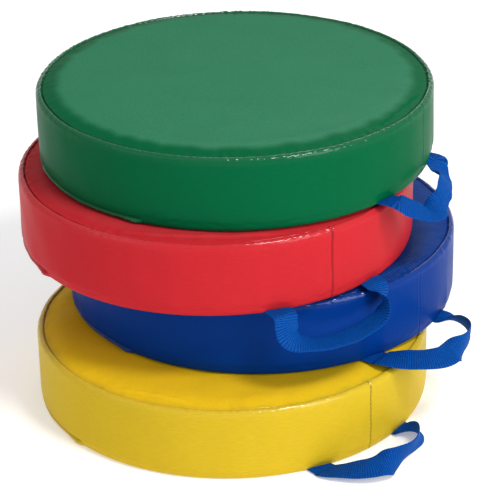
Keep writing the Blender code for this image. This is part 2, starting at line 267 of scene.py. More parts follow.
inflate = {
    "columns": 144,
    "pressure": 4.0,
    "frames": 20,
    "quality": 6,
    "mass": 0.3,
    "wobble": 0.12 * mm,       # unevenness that starts the creases
    "slack": -0.008,           # shrink factor: below zero, the cloth is cut large
    "rise": 1.2 * mm,          # most that the cover swells
    "crease": 0.45 * mm,       # most that a crease stands above or below that
    "creaseReach": 13 * mm,    # how soon creases die out away from a seam
}


class Place:
    # where a cushion lies, from the solids and the joint of its handle
    def __init__(self, name):
        low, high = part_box(f"{name}_foam_core")
        hinge = joints[f"{name}_handle_swing"]["pos_m"]
        self.x, self.y = (low.x + high.x) / 2, (low.y + high.y) / 2
        self.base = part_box(f"{name}_bottom_panel")[0].z
        self.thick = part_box(f"{name}_top_panel")[1].z - self.base
        self.turn = atan2(hinge[1] - self.y, hinge[0] - self.x)
        self.hingeOut = hypot(hinge[0] - self.x, hinge[1] - self.y)
        self.rim = self.hingeOut + coverCut["hingeInset"]
        self.seam = self.rim - coverCut["seamInset"]

    def world(self, out, angle, height):
        around = angle + self.turn
        return np.stack([self.x + out * np.cos(around), self.y + out * np.sin(around),
                         self.base + height + 0 * out * around], axis=-1)


def seamRings(zones):    # the rings on the top seam and on the bottom seam
    return int(np.flatnonzero(zones == 0)[-1]), int(np.flatnonzero(zones == 2)[0])


def smooth(value, low, high):
    share = np.clip((value - low) / (high - low), 0, 1)
    return share * share * (3 - 2 * share)


def ripple(angle, fewest, most, rng, count=16):    # an uneven wave that closes round the rim
    total = 0
    for _ in range(count):
        turns, size, start = rng.integers(fewest, most), rng.normal(), rng.uniform(0, tau)
        total = total + size * np.cos(turns * angle + start)
    return total / count**0.5


def hills(x, y, shortest, longest, rng, count=18):    # soft dents over a flat panel
    total = 0
    for _ in range(count):
        pitch, way, start = rng.uniform(shortest, longest), rng.uniform(0, tau), rng.uniform(0, tau)
        total = total + np.cos((x * cos(way) + y * sin(way)) * tau / pitch + start)
    return total / count**0.5


# rings from the middle of the top, over the wall, to the middle of the underside
def profile(place, fine, grooveDepth=0):
    inset, seam, thick = coverCut["seamInset"], place.seam, place.thick
    drop, sink, rise = coverCut["shoulderDrop"], coverCut["topSink"], inflate["rise"]
    if fine:
        panel = [*np.linspace(4 * mm, seam - 32 * mm, 15),
                 *np.linspace(seam - 30 * mm, seam - 4 * mm, 19),
                 *(seam - np.array([3.0, 2.2, 1.6, 1.15, 0.8, 0.5, 0.25, 0.0]) * mm)]
        bends = np.radians([2, 4, 7, 11, 16, 22, 29, 37, 46, 56, 66, 76, 84, 90])
        upright = [*np.linspace(thick - sink - drop - 3 * mm, 18 * mm, 13),
                   *np.linspace(16.8 * mm, 7 * mm, 12)]
        under = [*(seam - np.array([0, 0.5, 1.2, 2.5, 5]) * mm),
                 *np.linspace(seam - 12 * mm, 6 * mm, 9)]
    else:
        panel = [*np.linspace(6 * mm, seam, 26)]
        bends = np.radians([30, 60, 90])
        upright = [*np.linspace(thick - sink - drop - 6 * mm, 12 * mm, 8)]
        under = [*np.linspace(seam, 8 * mm, 16)]
    rings = []
    for out in panel:
        roll = smooth(out, seam - coverCut["rollWidth"] * 1.4, seam + coverCut["rollWidth"] * 0.5)
        rings.append((out, thick - rise - coverCut["rollDrop"] * roll * 1.15, 0))
    for bend in bends:
        height = thick - rise * 0.5 - sink - drop * (1 - cos(bend))
        rings.append((seam + inset * sin(bend), height, 1))
    for height in upright:
        rings.append((place.rim, height, 1))
    for bend in bends[::-1]:
        rings.append((seam + inset * sin(bend), rise * 0.4 + drop * (1 - cos(bend)), 1))
    for out in under:
        rings.append((out, rise, 2))
    outs, heights, zones = (np.array(column) for column in zip(*rings))
    outs = outs - rise * 0.4 * smooth(outs, seam, place.rim)
    if fine:    # the two sewn grooves
        for ring, side in zip(seamRings(zones), (1, -1)):
            close = np.exp(-((outs - outs[ring]) / coverCut["grooveWidth"])**2)
            sameHalf = (heights - thick / 2) * side > 0
            heights = heights - side * grooveDepth * close * sameHalf
    steps = np.hypot(np.diff(outs), np.diff(heights))
    return outs, heights, zones, np.concatenate([[0], np.cumsum(steps)])


def gridFaces(rows, columns):    # quads between rings, then a fan at each pole
    ring = np.arange(rows * columns).reshape(rows, columns)
    after = np.roll(ring, -1, axis=1)
    quads = np.stack([ring[:-1], ring[1:], after[1:], after[:-1]], axis=-1).reshape(-1, 4)
    topPole, lowPole = rows * columns, rows * columns + 1
    fans = [(topPole, ring[0, j], after[0, j]) for j in range(columns)]
    fans += [(ring[-1, j], lowPole, after[-1, j]) for j in range(columns)]
    return quads.tolist() + [tuple(map(int, fan)) for fan in fans]


def gridMesh(name, points):    # points is rows x columns x 3
    poles = [points[0].mean(axis=0), points[-1].mean(axis=0)]
    mesh = bpy.data.meshes.new(name)
    mesh.from_pydata([*points.reshape(-1, 3).tolist(), *(pole.tolist() for pole in poles)], [],
                     gridFaces(*points.shape[:2]))
    mesh.shade_smooth()
    return mesh


def between(values, where, axis, closed):    # Catmull-Rom along one axis of a grid
    values = np.moveaxis(values, axis, 0)
    count = len(values)
    first = np.floor(where).astype(int)
    share = (where - first).reshape(-1, *([1] * (values.ndim - 1)))
    keep = (lambda i: i % count) if closed else (lambda i: np.clip(i, 0, count - 1))
    a, b, c, d = (values[keep(first + shift)] for shift in (-1, 0, 1, 2))
    curve = 0.5 * (2 * b + (c - a) * share + (2 * a - 5 * b + 4 * c - d) * share**2
                   + (3 * b - a - 3 * c + d) * share**3)
    return np.moveaxis(curve, 0, axis)


def swellAll(places):    # cloth under pressure, sewn down along both seams of each cover
    runs = {}
    columns = inflate["columns"]
    angles = np.arange(columns) * tau / columns
    for name, place in places.items():
        outs, heights, zones, along = profile(place, False)
        rng = np.random.default_rng(cushions[name]["seed"])
        wobble = rng.normal(0, inflate["wobble"], (len(outs), columns))
        start = place.world(outs[:, None] + wobble, angles[None, :], heights[:, None] + wobble)
        obj = bpy.data.objects.new(f"{name}_swelling", gridMesh("swelling", start))
        scene.collection.objects.link(obj)
        sewn = list(seamRings(zones))
        group = obj.vertex_groups.new(name="sewn")
        held = [row * columns + column for row in sewn for column in range(columns)]
        group.add(held, 1.0, "REPLACE")
        cloth = obj.modifiers.new("inflate", "CLOTH")
        cloth.settings.quality = inflate["quality"]
        cloth.settings.mass = inflate["mass"]
        cloth.settings.use_pressure = True
        cloth.settings.uniform_pressure_force = inflate["pressure"]
        cloth.settings.vertex_group_mass = "sewn"
        cloth.settings.shrink_min = inflate["slack"]
        cloth.settings.effector_weights.gravity = 0
        cloth.collision_settings.use_collision = False
        cloth.point_cache.frame_end = inflate["frames"]
        runs[name] = (obj, start, along, along[sewn])
    for step in range(1, inflate["frames"] + 1):
        scene.frame_set(step)
    result = {}
    graph = bpy.context.evaluated_depsgraph_get()
    for name, (obj, start, along, seams) in runs.items():
        place = places[name]
        mesh = obj.evaluated_get(graph).to_mesh()
        flat = np.empty(len(mesh.vertices) * 3)
        mesh.vertices.foreach_get("co", flat)
        moved = flat.reshape(-1, 3)[:-2].reshape(start.shape) - start
        around = angles + place.turn
        outward = moved[..., 0] * np.cos(around) + moved[..., 1] * np.sin(around)
        result[name] = (capped(np.stack([outward, moved[..., 2]], axis=-1), along, seams), along)
        obj.evaluated_get(graph).to_mesh_clear()
    for obj, *_ in runs.values():
        bpy.data.objects.remove(obj)
    scene.frame_set(1)
    return result


def capped(move, along, seams):    # the even swelling and the creases are held back apart
    even = move.mean(axis=1, keepdims=True)
    away = np.abs(along[:, None] - seams).min(axis=1)[:, None, None]
    creases = inflate["crease"] * np.tanh((move - even) * 0.5 / inflate["crease"])
    fade = np.exp(-away / inflate["creaseReach"])
    return inflate["rise"] * np.tanh(even / inflate["rise"]) + fade * creases


def turned(degrees):    # the same direction, between -180 and 180
    return (degrees + 180) % 360 - 180


def columnAngles(look):    # finer columns at the upright seam and at the end of the zip
    spacing = 360 / coverCut["columns"]
    even = np.arange(coverCut["columns"]) * 360 / coverCut["columns"]
    beside = np.array([0.08, 0.16, 0.26, 0.38, 0.52, 0.7, 0.9])
    tuck = coverCut["zipEnds"][1] + np.array([-1.4, -1.15, -0.9, -0.65, -0.4, -0.15,
                                              0.1, 0.35, 0.6, 0.85, 1.1, 1.35])
    wanted = np.concatenate([look["uprightSeam"] + np.array([*-beside[::-1], 0, *beside]), tuck])
    kept = [angle for angle in even if np.abs(turned(wanted - angle)).min() > spacing * 0.45]
    return np.radians(np.sort(np.concatenate([kept, wanted]) % 360))


def makeCover(name, place, look, swelling):
    rng = np.random.default_rng(look["seed"] + 1000)
    outs, heights, zones, along = profile(place, True, look["grooveDepth"])
    angles = columnAngles(look)
    seamRing, lowRing = seamRings(zones)
    out = np.repeat(outs[:, None], len(angles), axis=1)
    height = np.repeat(heights[:, None], len(angles), axis=1)
    if swelling:
        move, coarseAlong = swelling
        rows = np.interp(along, coarseAlong, np.arange(len(coarseAlong)))
        move = between(move, rows, 0, False)
        move = between(move, angles / tau * inflate["columns"], 1, True)
        out, height = out + move[..., 0], height + move[..., 1]
    angle = np.repeat(angles[None, :], len(outs), axis=0)
    fromHandle = np.degrees(angle)
    compass = turned(np.degrees(angle + place.turn))
    past = (along - along[seamRing])[:, None] + 0 * angle    # over the rim, from the top seam
    onTop, onWall = zones[:, None] == 0, zones[:, None] == 1

    # puckers that run across the top seam
    strong = (0.4 + 0.6 * smooth(ripple(angles, 2, 9, rng), -0.9, 1.1)) * look["pucker"]
    panelPucker = ripple(angles, *puckers["cross"], rng) * strong
    shoulderPucker = ripple(angles, *puckers["shoulder"], rng) * strong
    reach = puckers["reach"] * (1 + 0.5 * ripple(angles, 10, 40, rng))
    near = np.exp(-(np.abs(past) / np.maximum(reach, puckers["leastReach"]))**1.3)
    height += np.where(onTop, panelPucker * near * puckers["panelHeight"], 0)
    height += np.where(onWall, shoulderPucker * near * puckers["shoulderHeight"], 0)
    out += np.where(onWall, shoulderPucker * near * puckers["shoulderSwell"], 0)
    phase = past * tau / puckers["crinklePitch"]
    crinkle = ripple(angles, *puckers["fine"], rng) * np.cos(phase)
    crinkle = (crinkle + ripple(angles, *puckers["fine"], rng) * np.sin(phase)) * strong
    fade = np.exp(-(past / puckers["crinkleReach"])**2)
    shoulder = np.where(onWall, fade * crinkle * puckers["crinkleOnShoulder"], 0)
    height += np.where(onTop, crinkle * near * puckers["crinkleOnPanel"], shoulder)
    out += shoulder
    wander = ripple(angles, 4, 30, rng) * puckers["seamWander"]    # no seam is a true circle
    out += wander * np.exp(-(past / puckers["wanderReach"])**2)

    # soft dents in the panels, deepest near the rim
    x, y = out * np.cos(angle), out * np.sin(angle)
    dent = hills(x, y, 34 * mm, 95 * mm, rng) * 0.5 - 0.5
    shallow = smooth(out, 40 * mm, place.seam - 20 * mm) * 0.8 + 0.2
    height += np.where(onTop, np.minimum(dent, 0) * look["dents"] * 0.55 * shallow, 0)
    for first, last, inset, depth in look["folds"]:    # a long fold beside the seam
        share = (compass - first) / (last - first)
        inside = smooth(share, 0, 0.18) * (1 - smooth(share, 0.8, 1))
        bow = inset * (0.35 + 0.65 * np.sin(np.clip(share, 0, 1) * pi))
        gap = out - (place.seam - bow + 0.5 * mm * np.sin(share * 31))
        crease = -np.exp(-(gap / (0.9 * mm))**2) + 0.7 * np.exp(-((gap + 2.6 * mm) / (2.2 * mm))**2)
        height += np.where(onTop, crease * inside * depth, 0)

    # the wall: faint upright waves, and pulls above the ends of the strap
    level = height / place.thick
    upright = ripple(angles, 12, 46, rng) * (0.16 + 0.3 * np.exp(-((level - 0.1) / 0.16)**2))
    slanted = ripple(angles + 0.35 * (heights[:, None] / place.thick), 7, 24, rng) * 0.22
    wallShare = smooth(level, 0.02, 0.14) * (1 - smooth(level, 0.84, 0.96))
    out += np.where(onWall, (upright + slanted) * wallShare * wall["waves"], 0)
    for side in (-1, 1):
        aside = turned(fromHandle - side * coverCut["rootAngle"])
        pull = np.exp(-(aside / 2.6)**2) * np.exp(-(height / (15 * mm))**2)
        ridge = np.exp(-((aside - side * 4.6) / 1.3)**2) * np.exp(-(height / (26 * mm))**2)
        out += np.where(onWall, wall["rootRidge"] * ridge - wall["rootPull"] * pull, 0)

    # the closing seam of the band
    drift = 0.10 * np.sin(level * 9 + look["seed"]) + 0.05 * np.sin(level * 23)
    aside = np.radians(turned(fromHandle - look["uprightSeam"] - drift)) * place.rim
    stitchStep = 0.72 + 0.28 * np.cos(height * tau / wall["seamStitch"])
    valley = -np.exp(-(aside / wall["seamWidth"])**2) * stitchStep
    seamLip = (0.35 * np.exp(-((aside - 2.2 * mm) / (1.3 * mm))**2)
               + 0.2 * np.exp(-((aside + 2.4 * mm) / (1.6 * mm))**2))
    out += np.where(onWall, (valley + seamLip) * look["uprightDepth"], 0)

    # the flap's roll over the zip, pinched into a tuck where the zip ends
    first, last = coverCut["zipEnds"]
    zipPart = smooth(fromHandle, first, first + 3)
    zipPart = zipPart * (1 - smooth(fromHandle, last - 1.0, last + 1.2))
    roll = np.clip(height / coverCut["flapHeight"] * 0.95 + 0.05, 0, 1)
    body = np.clip(np.sin(roll * pi), 0, 1)**wall["flapPower"]
    lineDip = np.exp(-((height - coverCut["flapHeight"] * 1.05) / (0.95 * mm))**2)
    uneven = 1 + 0.18 * ripple(angles, 6, 60, rng)
    swell = body * coverCut["flapSwell"] * uneven - lineDip * wall["flapLine"]
    out += np.where(onWall, zipPart * swell, 0)
    tuck = (smooth(fromHandle, last - coverCut["tuckLength"], last - 1.5)
            * (1 - smooth(fromHandle, last - 1.2, last + 1.4)))
    tuck = tuck * np.exp(-((height - wall["tuckHeight"]) / wall["tuckSpread"])**2)
    tuck = tuck * (1 + 0.15 * np.sin(fromHandle * 2.1))
    out += np.where(onWall, tuck * coverCut["tuckSwell"], 0)
    height -= np.where(onWall & (height < 9 * mm), tuck * wall["tuckDrop"], 0)
    height = np.clip(height, coverCut["lowest"], place.thick)

    mesh = gridMesh(f"{name}_cover", place.world(out, angle, height))
    obj = bpy.data.objects.new(f"{name}_cover", mesh)
    scene.collection.objects.link(obj)
    panelLip = np.exp(-(past / (2.2 * mm))**2) * 0.7
    lip = np.where(past > 0, np.exp(-((past - 3 * mm) / (5 * mm))**2), panelLip)
    lip = lip * (0.35 + 0.65 * strong) * (zones[:, None] < 2)
    # where the painted reflection on the top panel ends: an uneven line in from the seam
    reflectedHazeLine = past + 1.3 * mm * ripple(angles, 8, 50, rng)
    # painted shade: the colour darkens in a thin line along the top seam's groove, and in a dotted
    # line along the upright seam
    seamShade = np.exp(-(past / (0.8 * mm))**2) * look["grooveShade"]
    uprightShadeLine = np.exp(-(aside / (1.0 * mm))**2) * stitchStep * onWall * look["uprightShade"]
    paintCover(mesh, place, out, angle, height, zones, {
        "topness": (1 - smooth(reflectedHazeLine, *look["reflectedHazeEdge"])) * onTop,
        "shine": np.maximum(lip, zipPart * body * onWall * 0.6),
        "seamShade": np.maximum(seamShade, uprightShadeLine),
        # painted shade in the crease above the roll over the zip
        "creaseShade": zipPart * lineDip * onWall,
    })
    topPath = place.world(out[seamRing], angles, height[seamRing] + look["threadLift"])
    middle = int(np.abs(angles - radians(look["uprightSeam"])).argmin())
    rows = np.flatnonzero((zones == 1) & (heights > 7 * mm) & (heights < place.thick - 8 * mm))
    uprightPath = place.world(out[rows, middle] + (look["uprightShade"] - 0.6) * 0.4 * mm,
                              angle[rows, middle] + np.radians(drift[rows, middle]),
                              height[rows, middle])
    lowPath = place.world(out[lowRing] - 0.2 * mm, angles, height[lowRing] - 0.2 * mm)
    unzipped = (fromHandle[0] < first) | (fromHandle[0] > last)
    return obj, topPath, uprightPath, lowPath[unzipped]


# the weave's own coordinates in metres, and where the top, the seams and the flap are: the painted
# reflection on the top, the painted shade along the seams and in the crease over the flap, and the
# shine
def paintCover(mesh, place, out, angle, height, zones, painted):
    rows, columns = out.shape
    flatX, flatY = out * np.cos(angle), out * np.sin(angle)
    ends = np.concatenate([angle[0], [tau]])
    uv = []
    for row in range(rows - 1):
        for step in ((row, 0), (row + 1, 0), (row + 1, 1), (row, 1)):
            at = np.arange(columns) + step[1]
            cell = step[0], at % columns
            if zones[row + 1] == 1 or zones[row] == 1:
                uv.append(np.stack([ends[at] * place.rim, height[cell]], axis=-1))
            else:
                uv.append(np.stack([flatX[cell], flatY[cell]], axis=-1))
    quads = np.array(uv).reshape(rows - 1, 4, columns, 2).transpose(0, 2, 1, 3).reshape(-1, 2)
    fans = []
    for row, order in ((0, (None, 0, 1)), (-1, (0, None, 1))):
        for column in range(columns):
            for step in order:
                at = (column + (step or 0)) % columns
                fans.append((0.0, 0.0) if step is None else (flatX[row, at], flatY[row, at]))
    layer = mesh.uv_layers.new(name="weave")
    corners = np.concatenate([quads, np.array(fans)])
    layer.data.foreach_set("uv", corners.astype(np.float32).ravel())
    for name, values in painted.items():
        store = mesh.attributes.new(name, "FLOAT", "POINT")
        values = np.broadcast_to(values, out.shape)
        poles = [values[0].mean(), values[-1].mean()]
        everywhere = np.concatenate([values.ravel(), poles])
        store.data.foreach_set("value", everywhere.astype(np.float32))


vinylFinish = {
    "weavePitch": 2.1 * mm,
    "weaveHeight": 0.018,      # heights in millimetres
    "grainHeight": 0.020,
    "streakHeight": 0.03,
    "mottleHeight": 0.03,
    "crinkleHeight": 0.65,
    "clouds": 22,              # scales of the noises
    "smears": 60,
    "crinkles": 330,
    "mottles": 380,
    "grains": 900,
    "streaks": (110, 800),     # along and across
    "roughness": 0.30,
    "refraction": 1.5,
    "specular": 0.02,          # low, because the clear coat carries the gloss
    "coatRoughness": 0.14,
}


def vinyl(name, look):
    paint = Finish(f"{name}_vinyl")
    where = paint.place()
    u, v = paint.flat("weave")
    topness, shine = paint.painted("topness"), paint.painted("shine")
    seamShade, creaseShade = paint.painted("seamShade"), paint.painted("creaseShade")
    along, across = vinylFinish["streaks"]
    lengths = paint.node("ShaderNodeCombineXYZ", {}, {0: u * along, 1: v * across})
    cloudy = paint.noise(where, vinylFinish["clouds"])
    streak = paint.noise(lengths, 1.0, 3, 0.6)
    mottle = paint.noise(where, vinylFinish["mottles"], 3, 0.65)
    speck = paint.noise(where, vinylFinish["grains"], 2, 0.5)
    smear = paint.noise(where, vinylFinish["smears"], 3, 0.6)
    crinkle = paint.noise(where, vinylFinish["crinkles"], 3, 0.62)
    pitch = vinylFinish["weavePitch"]
    weave = u.wave(pitch) * v.wave(pitch)
    ribs = v.wave(look["ribs"])
    colour = look["colour"]
    uneven = cloudy * 0.4 + streak.step(0.32, 0.68) * 0.6
    # painted reflection: the top panel is veiled with a paler tint, mottled
    reflectedHaze = topness * (0.72 + 0.3 * mottle.step(0.3, 0.7) + 0.26 * cloudy) * look["reflectionShare"]
    tone = paint.colours(uneven, tinted(colour, 0.93), tinted(colour, 1.07))
    for share, over in ((weave * 0.10, tinted(colour, 0.62)),
                        # painted shade in the crease above the flap's roll
                        (creaseShade * 0.55, tinted(colour, 0.35)),
                        (reflectedHaze, (*look["reflectionTint"], 1.0)),
                        # the painted reflection on the top is darkened in stripes along the ribs
                        (ribs * topness * look["ribHeight"] * 2.5, tinted(colour, 0.6)),
                        # painted shade along the seams
                        (seamShade * 0.6, tinted(colour, 0.25))):
        tone = paint.colours(share, tone, over)
    worn = topness * (0.08 + mottle * 0.10)
    rough = vinylFinish["roughness"] + smear * 0.10 + worn - shine * 0.1
    height = (weave * vinylFinish["weaveHeight"] + streak * vinylFinish["streakHeight"]
              + ribs * look["ribHeight"] * topness + speck * vinylFinish["grainHeight"]
              + mottle * vinylFinish["mottleHeight"]
              + crinkle * shine * vinylFinish["crinkleHeight"])
    gloss = 0.02 + shine + topness * 0.05
    return paint.set(Base_Color=tone, Roughness=rough, Normal=paint.bump(height), Coat_Weight=gloss,
                     Specular_IOR_Level=vinylFinish["specular"], IOR=vinylFinish["refraction"],
                     Coat_IOR=vinylFinish["refraction"],
                     Coat_Roughness=vinylFinish["coatRoughness"])


stitching = {
    "pitch": 4.2 * mm,
    "length": 2.9 * mm,
    "thread": 0.75 * mm,
    "uneven": (0.85, 1.1),     # shortest and longest, as shares of the length
    "seed": 7,
}


def stitchTree(material):    # lays one bead of thread at each pitch along a line
    tree = bpy.data.node_groups.new("stitchRun", "GeometryNodeTree")
    face = tree.interface
    face.new_socket("Geometry", in_out="INPUT", socket_type="NodeSocketGeometry")
    for name in ("Pitch", "Length", "Thread"):
        face.new_socket(name, in_out="INPUT", socket_type="NodeSocketFloat")
    face.new_socket("Seed", in_out="INPUT", socket_type="NodeSocketInt")
    face.new_socket("Geometry", in_out="OUTPUT", socket_type="NodeSocketGeometry")

    def add(kind, settings={}, **links):
        made = tree.nodes.new(kind)
        for key, value in settings.items():
            setattr(made, key, value)
        for key, value in links.items():
            socket = made.inputs[key.replace("_", " ")]
            if isinstance(value, bpy.types.NodeSocket):
                tree.links.new(value, socket)
            else:
                socket.default_value = value
        return made

    inputs = add("NodeGroupInput").outputs
    curve = add("GeometryNodeMeshToCurve", Mesh=inputs["Geometry"]).outputs[0]
    spaced = {"mode": "LENGTH"}
    run = add("GeometryNodeResampleCurve", spaced, Curve=curve, Length=inputs["Pitch"]).outputs[0]
    tangent = add("GeometryNodeInputTangent").outputs[0]
    facing = add("FunctionNodeAlignRotationToVector", {"axis": "X"}, Vector=tangent).outputs[0]
    vary = add("FunctionNodeRandomValue", {"data_type": "FLOAT"}, Seed=inputs["Seed"])
    vary.inputs[2].default_value, vary.inputs[3].default_value = stitching["uneven"]
    long = add("ShaderNodeMath", {"operation": "MULTIPLY"})
    tree.links.new(inputs["Length"], long.inputs[0])
    tree.links.new(vary.outputs[1], long.inputs[1])
    thread = inputs["Thread"]
    size = add("ShaderNodeCombineXYZ", X=long.outputs[0], Y=thread, Z=thread).outputs[0]
    bead = add("GeometryNodeMeshUVSphere", Segments=8, Rings=5, Radius=0.5).outputs[0]
    soft = add("GeometryNodeSetShadeSmooth", Geometry=bead).outputs[0]
    placed = add("GeometryNodeInstanceOnPoints", Points=run, Instance=soft, Rotation=facing,
                 Scale=size).outputs[0]
    whole = add("GeometryNodeRealizeInstances", Geometry=placed).outputs[0]
    coloured = add("GeometryNodeSetMaterial", Geometry=whole, Material=material).outputs[0]
    add("NodeGroupOutput", Geometry=coloured)
    return tree


def makeStitches(name, runs, tree):
    mesh = bpy.data.meshes.new(f"{name}_stitches")
    points, edges = [], []
    for run, closed in runs:
        first = len(points)
        points += run.tolist()
        edges += [(first + i, first + i + 1) for i in range(len(run) - 1)]
        if closed:
            edges.append((len(points) - 1, first))
    mesh.from_pydata(points, edges, [])
    obj = bpy.data.objects.new(f"{name}_stitches", mesh)
    scene.collection.objects.link(obj)
    repeat = obj.modifiers.new("stitchRun", "NODES")
    repeat.node_group = tree
    values = {"Pitch": stitching["pitch"], "Length": stitching["length"],
              "Thread": stitching["thread"], "Seed": stitching["seed"]}
    for item in tree.interface.items_tree:
        if item.in_out == "INPUT" and item.name in values:
            repeat[item.identifier] = values[item.name]
    bpy.context.view_layer.update()
    graph = bpy.context.evaluated_depsgraph_get()
    plain = bpy.data.meshes.new_from_object(obj.evaluated_get(graph))
    obj.modifiers.clear()
    obj.data = plain
    plain.name = f"{name}_stitches"
    return obj


def threadFinish(name, colour, shade):
    paint = Finish(f"{name}_thread")
    twist = paint.noise(paint.place(), 1600, 2)
    tone = paint.colours(twist, tinted(colour, shade * 0.7), tinted(colour, shade * 1.3))
    return paint.set(Base_Color=tone, Roughness=0.45 + twist * 0.2, Normal=paint.bump(twist * 0.08))


webbing = {
    "width": 25 * mm,
    "thick": 1.6 * mm,
    "rise": 1.8 * mm,          # middle of the strap above the underside, at the seam
    "rootSpacing": 52 * mm,    # from the handle's middle to each end
    "tail": 16 * mm,           # sewn in, inside the rim
    "rib": 2.1 * mm,
    "ribHeight": 0.20 * mm,
    "step": 0.34 * mm,
    "weft": 2.6 * mm,
    "curl": 0.55 * mm,
    "wave": 0.25 * mm,
    "waveLength": 31 * mm,
    "lineRounds": 6,           # how often the middle line is smoothed
    "twistRounds": 90,
}

# each point: metres beyond the rim, half spacings along it, half widths above the seam,
# and the direction across the strap
loopRoutes = {
    "yellow": [
        (-0.0030, -1.00, 0.00, (0.0, -1.0, 0.0)), (0.0045, -1.00, 0.12, (0.0, -1.0, -0.05)),
        (0.0225, -0.80, 0.50, (0.3, -0.9, -0.2)), (0.0355, -0.58, 0.75, (0.65, -0.65, -0.28)),
        (0.0410, -0.36, 0.85, (0.85, -0.25, -0.38)), (0.0430, -0.12, 0.92, (0.15, 0.0, -1.0)),
        (0.0415, 0.18, 0.95, (-0.32, 0.0, -0.95)), (0.0365, 0.52, 0.95, (-0.3, -0.1, -0.95)),
        (0.0270, 0.82, 0.92, (0.0, 0.1, -1.0)), (0.0140, 0.97, 0.60, (0.1, 0.6, -0.8)),
        (-0.0030, 1.00, 0.00, (0.0, 1.0, 0.0)),
    ],
    "blue": [
        (-0.0030, -1.00, 0.00, (0.0, -1.0, 0.0)), (0.0045, -1.00, 0.16, (0.0, -1.0, -0.1)),
        (0.0235, -0.82, 0.26, (0.4, -0.85, -0.3)), (0.0385, -0.58, 0.26, (0.7, -0.6, -0.35)),
        (0.0470, -0.33, 0.26, (0.85, -0.25, -0.38)), (0.0485, -0.10, 0.30, (0.85, -0.05, -0.4)),
        (0.0495, 0.14, 0.34, (0.1, 0.0, -1.0)), (0.0475, 0.36, 0.38, (-0.2, 0.0, -0.98)),
        (0.0410, 0.64, 0.40, (-0.1, 0.0, -1.0)), (0.0280, 0.88, 0.34, (0.15, 0.3, -0.95)),
        (0.0130, 0.99, 0.16, (0.1, 0.8, -0.6)), (-0.0030, 1.00, 0.00, (0.0, 1.0, 0.0)),
    ],
    "red": [
        (-0.0030, -1.00, 0.00, (0.0, -1.0, 0.0)), (0.0040, -1.00, -0.16, (0.0, -1.0, 0.0)),
        (0.0070, -1.02, -0.90, (0.0, -1.0, -0.1)), (0.0090, -0.97, -1.65, (0.1, -1.0, -0.1)),
        (0.0130, -0.80, -2.20, (0.6, -0.8, -0.1)), (0.0195, -0.44, -2.52, (0.95, -0.3, 0.0)),
        (0.0220, 0.03, -2.56, (0.98, -0.1, 0.0)), (0.0220, 0.46, -2.28, (0.98, -0.1, 0.0)),
        (0.0215, 0.78, -1.75, (0.97, -0.2, 0.0)), (0.0160, 0.95, -1.05, (0.93, -0.35, 0.0)),
        (0.0095, 1.00, -0.50, (0.75, -0.65, 0.0)), (0.0020, 1.00, -0.10, (0.1, -1.0, 0.0)),
        (-0.0030, 1.00, 0.00, (0.0, -1.0, 0.0)),
    ],
    "green": [
        (-0.0030, -1.00, 0.00, (0.0, -1.0, 0.0)), (0.0045, -1.00, -0.10, (0.0, -1.0, 0.0)),
        (0.0130, -0.84, -0.65, (0.15, -0.95, -0.1)), (0.0205, -0.60, -1.25, (0.45, -0.85, -0.2)),
        (0.0250, -0.36, -1.65, (0.9, -0.35, -0.25)), (0.0262, -0.10, -1.20, (0.45, 0.6, -0.65)),
        (0.0262, 0.10, -0.68, (0.25, 0.85, -0.45)), (0.0215, 0.36, -0.42, (0.1, 0.7, -0.7)),
        (0.0100, 0.64, -0.42, (0.0, 0.95, -0.3)), (0.0010, 0.88, -0.15, (0.0, 1.0, 0.0)),
        (-0.0030, 1.00, 0.00, (0.0, 1.0, 0.0)),
    ],
}


def evened(line, rounds):
    for _ in range(rounds):
        line[1:-1] = (line[:-2] + 2 * line[1:-1] + line[2:]) / 4


# the middle line and the direction across the whole strap, evenly spaced
def strapLine(name, place):
    half, spacing = webbing["width"] / 2, webbing["rootSpacing"]
    route = loopRoutes[name]
    middle = np.array([(place.rim + out, along * spacing, webbing["rise"] + rise * half)
                       for out, along, rise, _ in route])
    across = np.array([way for *_, way in route])
    tail = np.array([webbing["tail"], 0, 0])
    middle = np.vstack([middle[0] - tail, middle, middle[-1] - tail])
    across = np.vstack([across[:1], across, across[-1:]])
    where = np.linspace(0, len(middle) - 1.001, 900)
    middle, across = between(middle, where, 0, False), between(across, where, 0, False)
    length = np.concatenate([[0], np.cumsum(np.linalg.norm(np.diff(middle, axis=0), axis=1))])
    even = np.linspace(0, length[-1], round(length[-1] / webbing["step"]))
    middle, across = (np.stack([np.interp(even, length, part) for part in line.T], axis=-1)
                      for line in (middle, across))
    evened(middle, webbing["lineRounds"])
    evened(across, webbing["twistRounds"])
    run = np.gradient(middle, axis=0)
    sewn = np.minimum(even, even[-1] - even) < webbing["tail"] + 0.5 * mm
    late = even > even[-1] / 2
    run[sewn] = (1, 0, 0)
    run[sewn & late] = (-1, 0, 0)
    run /= np.linalg.norm(run, axis=1, keepdims=True)
    across -= (across * run).sum(axis=1, keepdims=True) * run
    across /= np.linalg.norm(across, axis=1, keepdims=True)
    return even, middle, across, np.cross(run, across)


